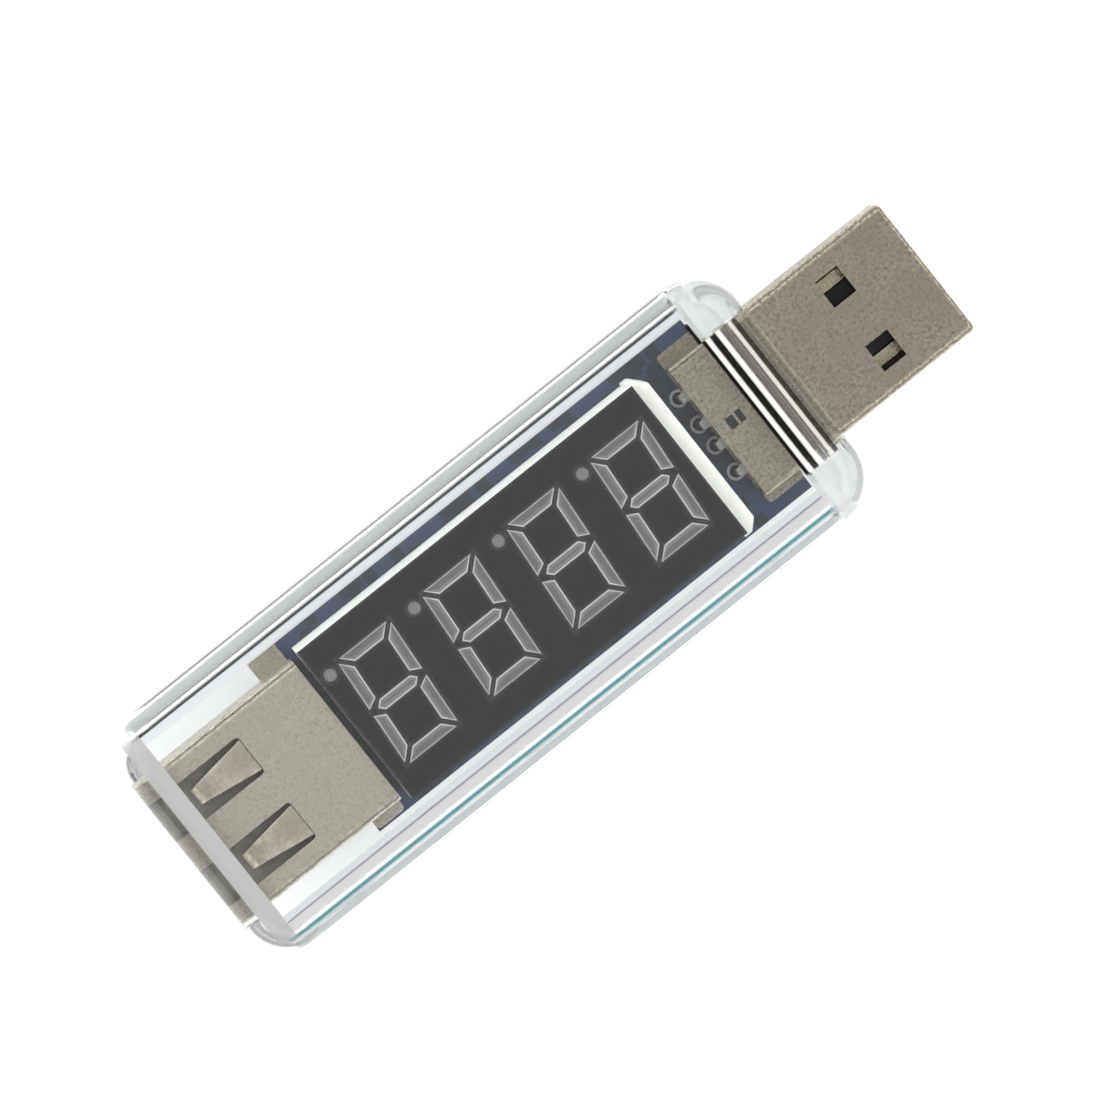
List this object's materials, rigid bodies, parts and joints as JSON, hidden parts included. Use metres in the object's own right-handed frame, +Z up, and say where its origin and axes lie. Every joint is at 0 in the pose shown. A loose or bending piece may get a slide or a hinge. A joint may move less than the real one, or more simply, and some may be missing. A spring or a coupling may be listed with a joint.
{
  "type": "usb power meter",
  "caption": "In-line USB voltage and current meter: clear two-part case, USB plug at one end, USB socket at the other, seven-segment LED display on a board inside.",
  "frame": {"origin": "middle of the whole object's underside (centre of the bounding box's bottom)", "axes": "+X along the length, out of the USB plug; +Z up, out of the display; +Y to the left seen from the socket"},
  "size_m": [0.0708, 0.022, 0.0124],
  "materials": {
    "clear_plastic": "clear moulded plastic, polished",
    "blue_board": "dark blue solder mask",
    "display_white": "moulded off-white plastic",
    "display_grey": "dark grey printed face",
    "segment_grey": "milky cast resin",
    "display_board": "bare fibreglass board",
    "tinned_brass": "tinned",
    "plated_steel": "nickel-plated sheet steel",
    "black_nylon": "moulded",
    "gold_plate": "gold-flashed contact",
    "chip_black": "moulded black resin",
    "ceramic_tan": "fired ceramic",
    "spring_steel": "nickel-plated spring sheet"
  },
  "bodies": {
    "meter": {"case_top": "clear_plastic", "case_bottom": "clear_plastic", "circuit_board": "blue_board", "display_housing": "display_white", "display_face": "display_grey", "segment_resin": "segment_grey", "display_substrate": "display_board", "display_pin_01": "tinned_brass", "display_pin_02": "tinned_brass", "display_pin_03": "tinned_brass", "display_pin_04": "tinned_brass", "display_pin_05": "tinned_brass", "display_pin_06": "tinned_brass", "display_pin_07": "tinned_brass", "display_pin_08": "tinned_brass", "display_pin_09": "tinned_brass", "display_pin_10": "tinned_brass", "display_pin_11": "tinned_brass", "display_pin_12": "tinned_brass", "plug_shell": "plated_steel", "plug_insulator": "black_nylon", "plug_contact_1": "gold_plate", "plug_contact_2": "gold_plate", "plug_contact_3": "gold_plate", "plug_contact_4": "gold_plate", "socket_shell": "plated_steel", "socket_insulator": "black_nylon", "socket_tail_1": "gold_plate", "socket_tail_2": "gold_plate", "socket_tail_3": "gold_plate", "socket_tail_4": "gold_plate", "microcontroller": "chip_black", "voltage_regulator": "chip_black", "sense_diode": "chip_black", "shunt_resistor": "chip_black", "capacitor_1": "ceramic_tan", "capacitor_2": "ceramic_tan", "resistor_1": "chip_black", "resistor_2": "chip_black", "resistor_3": "chip_black"},
    "socket_spring_top_1": {"socket_spring_top_1": "spring_steel"},
    "socket_spring_top_2": {"socket_spring_top_2": "spring_steel"},
    "socket_spring_bottom_1": {"socket_spring_bottom_1": "spring_steel"},
    "socket_spring_bottom_2": {"socket_spring_bottom_2": "spring_steel"},
    "socket_contact_1": {"socket_contact_1": "gold_plate"},
    "socket_contact_2": {"socket_contact_2": "gold_plate"},
    "socket_contact_3": {"socket_contact_3": "gold_plate"},
    "socket_contact_4": {"socket_contact_4": "gold_plate"}
  },
  "joints": [
    {"name": "top_spring_1_flex", "type": "hinge", "parent": "meter", "child": "socket_spring_top_1", "pos_m": [-0.02695, -0.0031, 0.00952], "axis": [0, 1, 0], "range_deg": [0, 5], "stiffness_Nm_per_rad": 0.035},
    {"name": "top_spring_2_flex", "type": "hinge", "parent": "meter", "child": "socket_spring_top_2", "pos_m": [-0.02695, 0.0031, 0.00952], "axis": [0, 1, 0], "range_deg": [0, 5], "stiffness_Nm_per_rad": 0.035},
    {"name": "bottom_spring_1_flex", "type": "hinge", "parent": "meter", "child": "socket_spring_bottom_1", "pos_m": [-0.02695, -0.0031, 0.0041], "axis": [0, -1, 0], "range_deg": [0, 5], "stiffness_Nm_per_rad": 0.035},
    {"name": "bottom_spring_2_flex", "type": "hinge", "parent": "meter", "child": "socket_spring_bottom_2", "pos_m": [-0.02695, 0.0031, 0.0041], "axis": [0, -1, 0], "range_deg": [0, 5], "stiffness_Nm_per_rad": 0.035},
    {"name": "contact_leaf_1_flex", "type": "hinge", "parent": "meter", "child": "socket_contact_1", "pos_m": [-0.0235, -0.0035, 0.00724], "axis": [0, 1, 0], "range_deg": [0, 2.5], "stiffness_Nm_per_rad": 0.02},
    {"name": "contact_leaf_2_flex", "type": "hinge", "parent": "meter", "child": "socket_contact_2", "pos_m": [-0.0235, -0.001, 0.00724], "axis": [0, 1, 0], "range_deg": [0, 2.5], "stiffness_Nm_per_rad": 0.02},
    {"name": "contact_leaf_3_flex", "type": "hinge", "parent": "meter", "child": "socket_contact_3", "pos_m": [-0.0235, 0.001, 0.00724], "axis": [0, 1, 0], "range_deg": [0, 2.5], "stiffness_Nm_per_rad": 0.02},
    {"name": "contact_leaf_4_flex", "type": "hinge", "parent": "meter", "child": "socket_contact_4", "pos_m": [-0.0235, 0.0035, 0.00724], "axis": [0, 1, 0], "range_deg": [0, 2.5], "stiffness_Nm_per_rad": 0.02}
  ]
}
